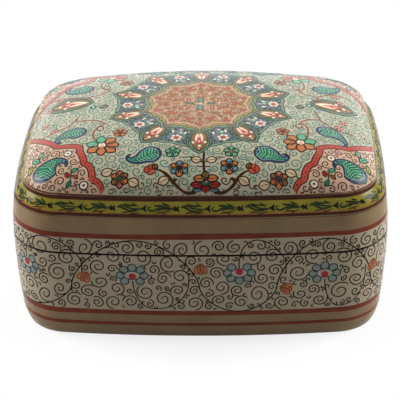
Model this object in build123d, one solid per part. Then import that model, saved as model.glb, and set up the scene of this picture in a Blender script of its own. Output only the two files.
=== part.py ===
from build123d import *
import os
from math import atan2, cos, degrees, hypot, radians, sin, sqrt

# Painted wooden trinket box with a lift-off domed lid.
# A mitred wooden carcass with straight tapers carries a coat of paper and plaster, which rounds it
# out and is the painted outside.
# Millimetres, +Z up, +X along the length, front towards -Y, origin under the middle of the foot.

# Plan outline of the finished outside, at the seam between base and lid
length = 150.0
depth = 114.0
front_bow = 5.2
side_bow = 2.8
corner_radius = 21.5

# Finished heights
seam_height = 39.6
lid_side_height = 15.9
shoulder_height = 5.6
crown_rise = 15.9

# How far the outside leans in from the plan outline
base_lean = 1.8
base_edge_lean = 1.9
lid_side_lean = 1.1
shoulder_lean = 4.2
shoulder_bulge_depth = 0.45

# Shape of the crown: its rings turn from the plan outline into ovals as they shrink, and an oval's
# bows and corners are shares of its half depth
crown_fullness = 3.5
oval_front_share = 0.60
oval_side_share = 0.50
oval_corner_share = 0.70
crown_rings = 13
carcass_rings = 6
last_ring_turn = 88.5

# Coat over the wood at its thinnest; it stops short of the seam and leaves a fine dark line there
coat_thickness = 0.8
seam_line = 0.5

# Wooden carcass
wall_thickness = 6.0
floor_thickness = 7.0
foot_height = 0.4
foot_inset = 1.2
rail_height = 12.4
crown_ledge = 5.0
crown_thickness = 7.5

# Bent strip inside the rim of the base, which keeps the lid in place
lip_thickness = 1.8
lip_glued_height = 9.0
lip_free_height = 5.0
lip_lead_in = 0.6
lip_clearance = 0.35
lip_butt_gap = 0.3

# Sizes and heights that follow
shoulder_low = seam_height + lid_side_height
shoulder_top = shoulder_low + shoulder_height
shoulder_edge = lid_side_lean + shoulder_lean
foot_edge = base_lean + base_edge_lean
rail_top = seam_height + rail_height
wall_inset = coat_thickness + wall_thickness
lid_wall_inset = wall_inset - lip_clearance
cutter_reach = length + depth


def arc_radius(half_chord, sagitta):
    """Radius of the arc that rises by the sagitta over half its chord."""
    return (half_chord**2 + sagitta**2) / (2 * sagitta)


def arc_sagitta(half_chord, radius):
    """How far an arc of this radius rises over half its chord."""
    return radius - sqrt(radius**2 - half_chord**2)


class Outline:
    """A rectangle with bowed sides and round corners, made of eight tangent arcs."""

    def __init__(self, half_length, half_depth, bow_front, bow_side, radius):
        self.radius = radius
        self.front_radius = arc_radius(half_length, bow_front)
        self.side_radius = arc_radius(half_depth, bow_side)
        self.front_centre = half_depth - self.front_radius
        self.side_centre = half_length - self.side_radius
        self.corner = self.find_corner()
        cx, cy = self.corner
        self.side_end = degrees(atan2(cy, cx - self.side_centre))
        self.front_end = degrees(atan2(cy - self.front_centre, cx))

    def find_corner(self):
        """Centre of the corner arc, which touches the back arc and the right-hand arc from inside."""
        back, right = Vector(0, self.front_centre), Vector(self.side_centre, 0)
        back_reach = self.front_radius - self.radius
        right_reach = self.side_radius - self.radius
        apart = (right - back).length
        along = (back_reach**2 - right_reach**2 + apart**2) / (2 * apart)
        across = sqrt(back_reach**2 - along**2)
        way = (right - back).normalized()
        foot = back + way * along
        one = foot + Vector(-way.Y, way.X) * across
        other = foot - Vector(-way.Y, way.X) * across
        outer = one if one.X > other.X else other
        return outer.X, outer.Y

    def wire(self, inset, z):
        """The outline moved inwards by the inset, as a closed wire at height z."""
        cx, cy = self.corner
        side, front, corner = self.side_end, self.front_end, self.radius - inset
        turn = front - side
        side_arc = self.side_radius - inset
        front_arc = self.front_radius - inset
        arcs = [
            CenterArc((self.side_centre, 0), side_arc, -side, 2 * side),
            CenterArc((cx, cy), corner, side, turn),
            CenterArc((0, self.front_centre), front_arc, front, 180 - 2 * front),
            CenterArc((-cx, cy), corner, 180 - front, turn),
            CenterArc((-self.side_centre, 0), side_arc, 180 - side, 2 * side),
            CenterArc((-cx, -cy), corner, 180 + side, turn),
            CenterArc((0, -self.front_centre), front_arc, 180 + front, 180 - 2 * front),
            CenterArc((cx, -cy), corner, 360 - front, turn),
        ]
        return Pos(0, 0, z) * Wire([arc.edge() for arc in arcs])

    def face(self, inset, z):
        """The same outline as a flat face."""
        return Face(self.wire(inset, z))

    def block(self, levels, ruled=False):
        """A solid through the outline at each (inset, height)."""
        return loft([self.face(inset, z) for inset, z in levels], ruled=ruled)

    def prism(self, inset, low, high):
        """A straight-sided solid between two heights."""
        return extrude(self.face(inset, low), high - low)


plan = Outline(length / 2, depth / 2, front_bow, side_bow, corner_radius)


def leaning_arc(along, reach, lean):
    """How far an arc has leaned in, part of the way along, if it starts upright."""
    return arc_sagitta(along, arc_radius(reach, lean))


def base_outside():
    """Solid inside the base's finished face: an upright arc that carries on round the lower edge."""
    reach = seam_height - floor_thickness
    side = []
    for share in (1.0, 2 / 3, 1 / 3, 0.0):
        drop = share * reach
        side.append((leaning_arc(drop, reach, base_lean), seam_height - drop))
    edge_height = floor_thickness - foot_height
    lean = 2 * atan2(base_lean, reach)
    bend = 2 * (atan2(base_edge_lean, edge_height) - lean)
    radius = hypot(edge_height, base_edge_lean) / (2 * sin(bend / 2))
    edge = []
    for share in (1.0, 0.75, 0.5, 0.25, 0.0):
        angle = lean + share * bend
        across = base_lean + radius * (cos(lean) - cos(angle))
        edge.append((across, floor_thickness - radius * (sin(angle) - sin(lean))))
    return plan.block(edge) + plan.block(side)


def base_carcass():
    """Solid inside the wood's outer face in the base."""
    levels = [
        (coat_thickness + foot_edge, foot_height),
        (coat_thickness + base_lean, floor_thickness),
        (coat_thickness, seam_height),
    ]
    return plan.block(levels, ruled=True)


def crown(inset, low, top, ring_count, ruled=False):
    """Solid dome over the plan outline: horizontal rings that grow rounder as they shrink."""
    half_length = length / 2 - inset
    half_depth = depth / 2 - inset
    foot_front_bow = arc_sagitta(half_length, plan.front_radius - inset)
    foot_side_bow = arc_sagitta(half_depth, plan.side_radius - inset)
    radius = corner_radius - inset
    rings = []
    for step in range(ring_count):
        turn = radians(last_ring_turn * step / (ring_count - 1))
        size = cos(turn) ** (2 / crown_fullness)
        oval = 1 - size**2
        ring_front_bow = foot_front_bow + oval * (oval_front_share * half_depth - foot_front_bow)
        ring_side_bow = foot_side_bow + oval * (oval_side_share * half_depth - foot_side_bow)
        ring_radius = radius + oval * (oval_corner_share * half_depth - radius)
        ring = Outline(
            size * half_length,
            size * half_depth,
            size * ring_front_bow,
            size * ring_side_bow,
            size * ring_radius,
        )
        rings.append(ring.face(0, low + (top - low) * sin(turn)))
    return loft(rings, ruled=ruled)


def lid_outside():
    """Solid inside the lid's finished face: side, bulging shoulder and smooth crown."""
    side, shoulder = [], []
    for share in (0.0, 1 / 3, 2 / 3, 1.0):
        rise = share * lid_side_height
        side.append((leaning_arc(rise, lid_side_height, lid_side_lean), seam_height + rise))
        bulge = 4 * shoulder_bulge_depth * share * (1 - share)
        across = lid_side_lean + share * shoulder_lean - bulge
        shoulder.append((across, shoulder_low + share * shoulder_height))
    dome = crown(shoulder_edge, shoulder_top, shoulder_top + crown_rise, crown_rings)
    return plan.block(side) + plan.block(shoulder) + dome


def lid_carcass():
    """Solid inside the wood's outer face in the lid, with the crown planed in straight bands."""
    levels = [
        (coat_thickness, seam_height),
        (coat_thickness + lid_side_lean, shoulder_low),
        (coat_thickness + shoulder_edge, shoulder_top),
    ]
    dome = crown(
        coat_thickness + shoulder_edge,
        shoulder_top,
        shoulder_top + crown_rise - coat_thickness,
        carcass_rings,
        ruled=True,
    )
    return plan.block(levels, ruled=True) + dome


def slab(low, high):
    """A block wider than the box, between two heights."""
    return Pos(0, 0, low) * Box(
        cutter_reach, cutter_reach, high - low, align=(Align.CENTER, Align.CENTER, Align.MIN)
    )


def wedge(side, low, high):
    """A prism over one side of the plan, cut off along the mitres of its two corners."""
    cx, cy = plan.corner
    mitre = radians((plan.side_end + plan.front_end) / 2)
    out_x, out_y = cx + cutter_reach * cos(mitre), cy + cutter_reach * sin(mitre)
    if side in ("left", "right"):
        points = [(cx, -cy), (out_x, -out_y), (out_x, out_y), (cx, cy)]
    else:
        points = [(cx, cy), (out_x, out_y), (-out_x, out_y), (-cx, cy)]
    if side in ("left", "front"):
        points = [(-x, -y) for x, y in points]
    return extrude(Pos(0, 0, low) * make_face(Polyline(points, close=True)), high - low)


def base_floor():
    """Board under the walls, with the rounded lower edge and a low foot to stand on."""
    board = base_carcass() & slab(foot_height, floor_thickness)
    return board + plan.prism(coat_thickness + foot_edge + foot_inset, 0, foot_height)


def base_wall(side):
    """One bowed board of the base, mitred at both ends."""
    ring = base_carcass() & slab(floor_thickness, seam_height)
    ring -= plan.prism(wall_inset, floor_thickness, seam_height)
    return ring & wedge(side, floor_thickness, seam_height)


def base_coat():
    """Painted coat round the base, from above the foot to just below the seam."""
    skin = base_outside() - base_carcass()
    return skin & slab(foot_height, seam_height - seam_line / 2)


def lip_strip():
    """Thin strip bent round the inside of the base, with its ends butted at the back."""
    low = seam_height - lip_glued_height
    top = seam_height + lip_free_height
    strip = plan.prism(wall_inset, low, top - lip_lead_in)
    strip += plan.block([(wall_inset, top - lip_lead_in), (wall_inset + lip_lead_in, top)], ruled=True)
    strip -= plan.prism(wall_inset + lip_thickness, low, top)
    butt = Pos(0, depth / 2, low) * Box(
        lip_butt_gap, depth, top - low, align=(Align.CENTER, Align.CENTER, Align.MIN)
    )
    return strip - butt


def lid_rail(side):
    """One bowed board of the lid, mitred at both ends."""
    ring = lid_carcass() & slab(seam_height, rail_top)
    ring -= plan.prism(lid_wall_inset, seam_height, rail_top)
    return ring & wedge(side, seam_height, rail_top)


def lid_crown():
    """Panel over the rails: the shoulder and the dome, hollowed underneath."""
    top = shoulder_top + crown_rise - coat_thickness
    panel = lid_carcass() & slab(rail_top, top)
    hollow_top = top - crown_thickness
    return panel - crown(lid_wall_inset + crown_ledge, rail_top, hollow_top, carcass_rings, ruled=True)


def lid_coat():
    """Painted coat over the lid, from just above the seam."""
    skin = lid_outside() - lid_carcass()
    return skin & slab(seam_height + seam_line / 2, shoulder_top + crown_rise)


def save(name, shape):
    """Write one piece to its own file."""
    solid = shape.solid()
    solid.label = name
    export_step(solid, f"parts/{name}.step")


os.makedirs("parts", exist_ok=True)
for side_name in ("front", "back", "left", "right"):
    save(f"base_{side_name}_wall", base_wall(side_name))
    save(f"lid_{side_name}_rail", lid_rail(side_name))
save("base_floor", base_floor())
save("base_coat", base_coat())
save("lip_strip", lip_strip())
save("lid_crown", lid_crown())
save("lid_coat", lid_coat())
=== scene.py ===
from math import atan2, cos, degrees, hypot, pi, radians, sin, tau

import bpy
import numpy as np
from mathutils import Matrix, Vector


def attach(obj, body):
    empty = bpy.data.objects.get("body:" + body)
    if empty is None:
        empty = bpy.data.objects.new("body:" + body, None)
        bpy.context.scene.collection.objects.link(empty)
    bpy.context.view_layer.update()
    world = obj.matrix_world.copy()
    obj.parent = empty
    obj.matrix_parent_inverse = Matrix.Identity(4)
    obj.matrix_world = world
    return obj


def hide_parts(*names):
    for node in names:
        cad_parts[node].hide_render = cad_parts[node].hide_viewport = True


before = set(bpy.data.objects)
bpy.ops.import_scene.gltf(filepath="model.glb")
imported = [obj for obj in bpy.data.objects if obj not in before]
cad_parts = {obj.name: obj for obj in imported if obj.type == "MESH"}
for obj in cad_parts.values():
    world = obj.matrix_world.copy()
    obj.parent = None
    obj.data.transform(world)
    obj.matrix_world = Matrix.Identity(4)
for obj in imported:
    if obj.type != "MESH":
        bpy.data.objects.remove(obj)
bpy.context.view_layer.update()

# A painted box with a lift-off domed lid.
# Millimetres in this script, +Z up, front towards -Y; pieces are scaled to metres as they are made.
mm = 0.001

# The outside of the box, as in its construction
length = 150.0
depth = 114.0
front_bow = 5.2
side_bow = 2.8
corner_radius = 21.5
seam_height = 39.6
lid_side_height = 15.9
shoulder_height = 5.6
crown_rise = 15.9
base_lean = 1.8
base_edge_lean = 1.9
lid_side_lean = 1.1
shoulder_lean = 4.2
shoulder_bulge_depth = 0.45
crown_fullness = 3.5
oval_front_share = 0.60
oval_side_share = 0.50
oval_corner_share = 0.70
coat_thickness = 0.8
seam_line = 0.5
floor_thickness = 7.0
foot_height = 0.4

# The lines and bands painted round it: heights of the lower and the upper edge
foot_line = (6.3, 7.9)
base_line = (11.6, 13.8)
scroll_field = (12.6, 47.8)
scroll_curls = (14.2, 46.6)
lid_side_line = (46.9, 48.8)
shoulder_line = (55.2, 56.8)
shoulder_wash = (56.3, 57.4)
shoulder_band = (56.0, 61.1)
pillow_foot_line = (60.8, 62.3)
# The brown band just above the pillow's foot line is painted shade, darkening the foot
pillow_foot_shade = (62.1, 62.8)
corner_ground_foot = 62.0
vine_middle = 58.7

shoulder_low = seam_height + lid_side_height
shoulder_top = shoulder_low + shoulder_height
shoulder_edge = lid_side_lean + shoulder_lean
crown_top = shoulder_top + crown_rise

# The ground lies a little under the outside, and each layer of paint a little over the one before;
# strokes are stepped along, lanes lie side by side in a broad one, and fills grow in rings
ground_depth = 0.17
layer_step = 0.016
brush_step = 0.6
lane_width = 0.8
fill_step = 1.1

rng = np.random.default_rng(1939)


# The outline of the box and its surface

def arc_radius(half_chord, sagitta):
    """Radius of the arc that rises by the sagitta over half its chord."""
    return (half_chord**2 + sagitta**2) / (2 * sagitta)


def arc_sagitta(half_chord, radius):
    """How far an arc of this radius rises over half its chord."""
    return radius - np.sqrt(radius**2 - half_chord**2)


def corner_arcs(half_length, half_depth, bow_front, bow_side, radius):
    """Bow radii, bow centres and corner centre of a bowed rectangle with round corners.

    The corner's centre lies at the bow radius less the corner radius from the centre of each bow.
    """
    front = arc_radius(half_length, bow_front)
    side = arc_radius(half_depth, bow_side)
    back_y = half_depth - front
    right_x = half_length - side
    reach_back = front - radius
    reach_right = side - radius
    apart = np.hypot(right_x, back_y)
    along = (reach_back**2 - reach_right**2 + apart**2) / (2 * apart)
    across = np.sqrt(reach_back**2 - along**2)
    way_x = right_x / apart
    way_y = -back_y / apart
    corner_x = way_x * along + way_y * across
    corner_y = back_y + way_y * along - way_x * across
    return front, side, back_y, right_x, corner_x, corner_y


def outline_arcs(half_length, half_depth, bow_front, bow_side, radius):
    """The nine arcs of the outline, anticlockwise from the front middle.

    Gives centre x, centre y, radius, first angle and sweep, each with the nine arcs on the last axis.
    """
    front, side, back_y, right_x, cx, cy = corner_arcs(half_length, half_depth, bow_front, bow_side, radius)
    a = np.arctan2(cy, cx - right_x)
    b = np.arctan2(cy - back_y, cx)
    none = np.zeros_like(cx)
    centre_x = np.stack([none, cx, right_x, cx, none, -cx, -right_x, -cx, none], -1)
    centre_y = np.stack([-back_y, -cy, none, cy, back_y, cy, none, -cy, -back_y], -1)
    radii = np.stack([front, radius, side, radius, front, radius, side, radius, front], -1)
    ends = np.stack([none - pi / 2, -b, -a, a, b, pi - b, pi - a, pi + a, pi + b, none + 1.5 * pi], -1)
    return centre_x, centre_y, radii, ends[..., :-1], np.diff(ends, axis=-1)


def whole(*sizes):
    """The sizes as arrays of one shape."""
    return np.broadcast_arrays(*[np.asarray(size, float) for size in sizes])


plan_sizes = whole(length / 2, depth / 2, front_bow, side_bow, corner_radius)
plan_arcs = outline_arcs(*plan_sizes)
plan_ends = np.concatenate([[0], np.cumsum(plan_arcs[2] * plan_arcs[4])])
perimeter = plan_ends[-1]

foot_half_length = length / 2 - shoulder_edge
foot_half_depth = depth / 2 - shoulder_edge
foot_front_bow = arc_sagitta(foot_half_length, arc_radius(length / 2, front_bow) - shoulder_edge)
foot_side_bow = arc_sagitta(foot_half_depth, arc_radius(depth / 2, side_bow) - shoulder_edge)
foot_radius = corner_radius - shoulder_edge


def crown_ring(size):
    """Sizes of a crown ring before it is shrunk: the ring grows oval as one less its size squared."""
    oval = 1 - size**2
    bow_front = foot_front_bow + oval * (oval_front_share * foot_half_depth - foot_front_bow)
    bow_side = foot_side_bow + oval * (oval_side_share * foot_half_depth - foot_side_bow)
    radius = foot_radius + oval * (oval_corner_share * foot_half_depth - foot_radius)
    return whole(foot_half_length + 0 * size, foot_half_depth, bow_front, bow_side, radius)


def crown_size(z):
    """Share of the pillow's foot that its ring has at height z: a superellipse."""
    rise = np.clip((z - shoulder_top) / crown_rise, 0, 1)
    return (1 - rise**2) ** (1 / crown_fullness)


def side_insets():
    """(heights, insets) of the outside up to the pillow's foot: leaning arcs, edge arc and shoulder."""
    lean = 2 * atan2(base_lean, seam_height - floor_thickness)
    edge_height = floor_thickness - foot_height
    bend = 2 * (atan2(base_edge_lean, edge_height) - lean)
    edge_radius = hypot(base_edge_lean, edge_height) / (2 * sin(bend / 2))
    share = np.linspace(1, 0, 12)[:-1]
    turn = lean + share * bend
    edge_z = floor_thickness - edge_radius * (np.sin(turn) - sin(lean))
    edge_in = base_lean + edge_radius * (cos(lean) - np.cos(turn))
    base_z = np.linspace(floor_thickness, seam_height, 25)
    base_radius = arc_radius(seam_height - floor_thickness, base_lean)
    base_in = arc_sagitta(seam_height - base_z, base_radius)
    lid_z = np.linspace(seam_height, shoulder_low, 12)[1:]
    lid_in = arc_sagitta(lid_z - seam_height, arc_radius(lid_side_height, lid_side_lean))
    t = np.linspace(0, 1, 10)[1:]
    shoulder_z = shoulder_low + shoulder_height * t
    shoulder_in = lid_side_lean + shoulder_lean * t - 4 * shoulder_bulge_depth * t * (1 - t)
    heights = np.concatenate([edge_z, base_z, lid_z, shoulder_z])
    return heights, np.concatenate([edge_in, base_in, lid_in, shoulder_in])


side_heights, side_in = side_insets()


def on_arcs(arcs, arc, share, inset):
    """Point at a share of the numbered arc, moved inwards."""
    picked = [np.take_along_axis(a, arc[..., None], -1)[..., 0] for a in arcs]
    centre_x, centre_y, radii, first, sweep = picked
    angle = first + share * sweep
    reach = radii - inset
    return centre_x + reach * np.cos(angle), centre_y + reach * np.sin(angle)


def shell_point(arc, share, z):
    """Outside of the box at height z, on the numbered arc: side walls below, pillow rings above."""
    arc, share, z = np.broadcast_arrays(arc, share, z)
    plan = [np.broadcast_to(a, z.shape + (9,)) for a in plan_arcs]
    x, y = on_arcs(plan, arc, share, np.interp(z, side_heights, side_in))
    size = crown_size(z)
    cx, cy = on_arcs(outline_arcs(*crown_ring(size)), arc, share, 0)
    above = z > shoulder_top
    return np.stack([np.where(above, size * cx, x), np.where(above, size * cy, y), z], -1)


def unit(v):
    """The vectors at length one."""
    return v / np.maximum(np.linalg.norm(v, axis=-1, keepdims=True), 1e-12)


def lift_off(lift):
    """How far a layer lies from the outside: the ground's depth, less the layers under it."""
    return lift * layer_step - ground_depth


def round_the_side(u, z, lift):
    """Point at distance u round the box from the front middle, at height z, on a layer."""
    u = np.mod(u, perimeter)
    arc = np.clip(np.searchsorted(plan_ends, u, side="right") - 1, 0, 8)
    share = (u - plan_ends[arc]) / (plan_arcs[2] * plan_arcs[4])[arc]
    here = shell_point(arc, share, z)
    along = shell_point(arc, share + 0.01, z) - here
    rise = 0.02 * np.where(z > crown_top - 1, -1, 1)
    up = (shell_point(arc, share, z + rise) - here) * np.sign(rise)[..., None]
    return here + unit(np.cross(along, up)) * np.asarray(lift_off(lift))[..., None]


def crown_height(x, y):
    """Height of the pillow over a plan point: the size of its ring is found by halving."""
    x, y = np.abs(x), np.abs(y)
    low = np.full(np.shape(x), 0.002)
    high = np.full(np.shape(x), 1.0)
    for _ in range(20):
        size = (low + high) / 2
        qx, qy = x / size, y / size
        ring = crown_ring(size)
        front, side, back_y, right_x, cx, cy = corner_arcs(*ring)
        past_side = (cx - right_x) * qy > cy * (qx - right_x)
        past_front = cx * (qy - back_y) < (cy - back_y) * qx
        beyond_bows = (np.hypot(qx, qy - back_y) > front) | (np.hypot(qx - right_x, qy) > side)
        beyond_corner = np.hypot(qx - cx, qy - cy) > ring[4]
        outside = np.where(past_side & past_front, beyond_corner, beyond_bows)
        low = np.where(outside, size, low)
        high = np.where(outside, high, size)
    return shoulder_top + crown_rise * np.sqrt(1 - size**crown_fullness)


def over_the_crown(x, y, lift):
    """Point of the pillow over plan point (x, y), on a layer."""
    near = 0.15
    z = crown_height(x, y)
    inward_x = near * np.where(x > 0, -1, 1)
    inward_y = near * np.where(y > 0, -1, 1)
    slope_x = (crown_height(x + inward_x, y) - z) / inward_x
    slope_y = (crown_height(x, y + inward_y) - z) / inward_y
    normal = unit(np.stack([-slope_x, -slope_y, np.ones_like(z)], -1))
    return np.stack([x, y, z], -1) + normal * np.asarray(lift_off(lift))[..., None]


# Making pieces

def make_mesh(name, points, triangles):
    """A mesh from points in millimetres and triangles, both as whole arrays."""
    mesh = bpy.data.meshes.new(name)
    points = np.asarray(points, float).reshape(-1, 3)
    mesh.vertices.add(len(points))
    mesh.vertices.foreach_set("co", (points * mm).astype(np.float32).ravel())
    mesh.loops.add(triangles.size)
    mesh.loops.foreach_set("vertex_index", triangles.astype(np.int32).ravel())
    mesh.polygons.add(len(triangles))
    mesh.polygons.foreach_set("loop_start", np.arange(0, triangles.size, 3, dtype=np.int32))
    mesh.update(calc_edges=True)
    mesh.validate()
    mesh.shade_smooth()
    return mesh


def add_piece(name, body, points, triangles, material):
    """A piece that rides on a body, in the painted finish."""
    mesh = make_mesh(name, points, triangles)
    piece = bpy.data.objects.new(name, mesh)
    bpy.context.scene.collection.objects.link(piece)
    mesh.materials.append(material)
    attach(piece, body)
    return piece


def grid_triangles(rows, columns, first=0, closed=False):
    """Two triangles for each cell of a grid of points, counted row by row."""
    row = np.arange(rows - 1)[:, None]
    column = np.arange(columns if closed else columns - 1)[None, :]
    after = (column + 1) % columns
    a = first + row * columns + column
    b = first + row * columns + after
    c = b + columns
    d = a + columns
    return np.concatenate([np.stack(corners, -1).reshape(-1, 3) for corners in ((a, b, c), (a, c, d))])


def fan_triangles(first, count, tip):
    """A triangle from each side of a ring of points to the point at its tip."""
    around = np.arange(count)
    return np.stack([first + around, first + (around + 1) % count, tip + 0 * around], -1)


def ring_to_ring(first, second, count):
    """Two triangles between each side of one ring of points and the same side of another."""
    around = np.arange(count)
    after = (around + 1) % count
    one = np.stack([first + around, first + after, second + after], -1)
    return np.concatenate([one, np.stack([first + around, second + after, second + around], -1)])


# Brushes: strokes and fills are worked out in flat coordinates and laid on the surface at the end

def through(points, step=brush_step, closed=False):
    """A smooth path through the points: each stretch is a cubic that leaves and arrives along the
    line between the neighbours on either side (Catmull-Rom)."""
    p = np.asarray(points, float)
    if closed:
        p = np.concatenate([p[-1:], p, p[:2]])
    else:
        p = np.concatenate([2 * p[:1] - p[1:2], p, 2 * p[-1:] - p[-2:-1]])
    stretches = []
    for a, b, c, d in zip(p, p[1:], p[2:], p[3:]):
        count = max(int(np.ceil(np.hypot(*(c - b)) / step)), 2)
        t = np.arange(count)[:, None] / count
        bend = (2 * a - 5 * b + 4 * c - d) * t**2 + (3 * b - a - 3 * c + d) * t**3
        stretches.append(b + 0.5 * ((c - a) * t + bend))
    return np.concatenate(stretches + [p[-2:-1]])


def placed(points, at, turn=0.0, size=1.0):
    """The points made larger, turned by degrees and moved."""
    p = np.asarray(points, float) * size
    c, s = cos(radians(turn)), sin(radians(turn))
    return np.stack([c * p[..., 0] - s * p[..., 1], s * p[..., 0] + c * p[..., 1]], -1) + at


def ellipse(long_radius, short_radius, steps=14):
    """Points round an ellipse."""
    t = np.arange(steps) / steps * tau
    return np.stack([long_radius * np.cos(t), short_radius * np.sin(t)], -1)


def drop_shape(long, wide, steps=22, power=1.2):
    """A drop from its point at +x to its round end: an ellipse whose height falls to the point."""
    t = np.arange(steps) / steps * tau
    return np.stack([long / 2 * np.cos(t), wide / 2 * np.sin(t) * np.sin(t / 2) ** power], -1)


def leaf_shape(long, wide, steps=20):
    """A leaf pointed at both ends: its half width is a sine squared."""
    t = np.arange(steps) / steps * tau
    return np.stack([long / 2 * np.cos(t), wide / 2 * np.sin(t) * np.abs(np.sin(t))], -1)


def settled(shape, at, spread=None):
    """The shape drawn in about a point where the surface is steep, so that it keeps its size there."""
    at = np.asarray(at, float)
    near = (spread or crown_spread)(at + 0.5 * np.array([[1, 0], [-1, 0], [0, 1], [0, -1]]))
    true_length = np.linalg.norm(near[::2] - near[1::2], axis=1)
    return at + (shape - at) / true_length


class Paint:
    """One colour on one stretch of the box: its strokes and fills, gathered in flat coordinates.

    The lift of a stroke or fill is its layer, counted from the ground up.
    """

    repeat_at_back = False

    def __init__(self, name, chart, spread, material):
        self.name, self.chart, self.spread, self.material = name, chart, spread, material
        self.points, self.lifts, self.triangles = [], [], []
        self.count = 0

    def gather(self, points, lift, triangles):
        """Keeps the triangles, and their mirror image at the back where that is asked."""
        points = points.reshape(-1, 2)
        self.points.append(points)
        self.lifts.append(np.full(len(points), float(lift)))
        self.triangles.append(triangles + self.count)
        self.count += len(points)
        if Paint.repeat_at_back:
            Paint.repeat_at_back = False
            self.gather(points * [1, -1], lift, triangles[:, ::-1])
            Paint.repeat_at_back = True

    def stroke(self, path, width, lift, head=0.0, tail=0.0, swell=None):
        """A ribbon along the path. Its width falls over the head and tail shares of its length as the
        root of the distance from the end, or follows swell, a function of the share."""
        path = np.asarray(path, float)
        laid = self.spread(path)
        reach = np.concatenate([[0], np.cumsum(np.linalg.norm(np.diff(laid, axis=0), axis=1))])
        count = max(int(np.ceil(reach[-1] / brush_step)), 3) + 1
        even = np.linspace(0, reach[-1], count)
        path = np.stack([np.interp(even, reach, path[:, 0]), np.interp(even, reach, path[:, 1])], -1)
        share = even / max(reach[-1], 1e-6)
        half = np.full(count, width / 2)
        blunt = 0.02
        if swell is not None:
            half = half * swell(share)
        if head:
            half = half * np.sqrt(np.clip(share / head, blunt, 1))
        if tail:
            half = half * np.sqrt(np.clip((1 - share) / tail, blunt, 1))
        along = np.gradient(path, axis=0)
        along /= np.maximum(np.hypot(along[:, :1], along[:, 1:]), 1e-9)
        left = np.stack([-along[:, 1], along[:, 0]], -1) * half[:, None]
        wide = np.linalg.norm(self.spread(path + left) - self.spread(path - left), axis=1)
        left = left * (2 * half / np.maximum(wide, 1e-6))[:, None]
        across = 2 * half.max()
        lanes = max(int(np.ceil(across / lane_width)), 1) + 1
        points = path[:, None, :] + np.linspace(1, -1, lanes)[None, :, None] * left[:, None, :]
        self.gather(points, lift, grid_triangles(count, lanes))

    def fill(self, outline, lift, centre=None):
        """A filled shape: rings at even shares of the way from its centre to its outline."""
        outline = np.asarray(outline, float)
        after = np.roll(outline, -1, axis=0)
        if np.sum(outline[:, 0] * after[:, 1] - outline[:, 1] * after[:, 0]) < 0:
            outline = outline[::-1]
        centre = outline.mean(0) if centre is None else np.asarray(centre, float)
        reach = np.linalg.norm(self.spread(outline) - self.spread(centre[None]), axis=1).max()
        rows = max(int(np.ceil(reach / fill_step)), 1)
        share = (np.arange(1, rows + 1) / rows)[:, None, None]
        rings = centre + share * (outline - centre)
        fan = fan_triangles(1, len(outline), 0)
        rest = grid_triangles(rows, len(outline), first=1, closed=True)[:, ::-1]
        self.gather(np.concatenate([[centre], rings.reshape(-1, 2)]), lift, np.concatenate([fan, rest]))

    def outline(self, shape, width, lift):
        """A line round a closed shape."""
        self.stroke(np.concatenate([shape, shape[:1]]), width, lift)

    def dot(self, at, radius, lift, steps=8):
        """A round spot, which keeps its size where the surface is steep."""
        self.fill(settled(placed(ellipse(radius, radius, steps), at), at, self.spread), lift, at)

    def lay(self, body, low=-np.inf, high=np.inf):
        """The piece: on the sides, what lies between two heights, cut off there; on the pillow, all."""
        points = np.concatenate(self.points)
        triangles = np.concatenate(self.triangles)
        z = points[:, 1][triangles]
        hair = 0.02
        triangles = triangles[(z.max(1) > low + hair) & (z.min(1) < high - hair)]
        kept, triangles = np.unique(triangles, return_inverse=True)
        triangles = triangles.reshape(-1, 3)
        lifts = np.concatenate(self.lifts)[kept]
        points = np.clip(points[kept], (-np.inf, low), (np.inf, high))
        a, b, c = points[triangles[:, 0]], points[triangles[:, 1]], points[triangles[:, 2]]
        area = (b[:, 0] - a[:, 0]) * (c[:, 1] - a[:, 1]) - (b[:, 1] - a[:, 1]) * (c[:, 0] - a[:, 0])
        triangles = triangles[np.abs(area) > 1e-7]
        laid = self.chart(points[:, 0], points[:, 1], lifts)
        return add_piece(f"{body}_{self.name}", body, laid, triangles, self.material)


def flat_spread(points):
    """On the sides, the flat coordinates are true lengths."""
    return points


height_step = 1.0
height_x = np.arange(-foot_half_length, foot_half_length + height_step, height_step)
height_y = np.arange(-foot_half_depth, foot_half_depth + height_step, height_step)
height_grid = crown_height(*np.meshgrid(height_x, height_y, indexing="ij"))


def crown_spread(points):
    """On the pillow, points of the plan with their rough height, from a grid of heights."""
    i = np.clip((points[..., 0] - height_x[0]) / height_step, 0, len(height_x) - 1.001)
    j = np.clip((points[..., 1] - height_y[0]) / height_step, 0, len(height_y) - 1.001)
    a, b = i.astype(int), j.astype(int)
    p, q = i - a, j - b
    near = height_grid[a, b] * (1 - q) + height_grid[a, b + 1] * q
    far = height_grid[a + 1, b] * (1 - q) + height_grid[a + 1, b + 1] * q
    return np.concatenate([points, (near * (1 - p) + far * p)[..., None]], -1)


# Curls: discs are packed into the free room between the larger motifs, and each becomes a spiral

def free_room(x, y, laid, taken, cell, reach, slack, wrap=False):
    """The cells of a grid as a list of four: their flat points, their points on the box, the room round
    each with some slack, and the step from each to the nearest taken cell.

    The grid is compared with itself shifted by each step that is no longer than the reach.
    """
    taken = taken.copy()
    taken[:, [0, -1]] = True
    if not wrap:
        taken[[0, -1]] = True
    room = np.full(taken.shape, float(reach))
    to = np.zeros(taken.shape + (2,))
    to[..., 1] = reach
    steps = int(reach / cell)
    for i in range(-steps, steps + 1):
        for j in range(-steps, steps + 1):
            if hypot(i, j) * cell > reach:
                continue
            away = np.linalg.norm(np.roll(laid, (-i, -j), axis=(0, 1)) - laid, axis=-1)
            nearer = np.roll(taken, (-i, -j), axis=(0, 1)) & (away < room)
            room[nearer] = away[nearer]
            to[nearer] = (i * cell, j * cell)
    spots = np.stack([x, y], -1)
    return [spots.reshape(-1, 2), laid.reshape(-1, 3), room.ravel() + slack, to.reshape(-1, 2)]


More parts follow.
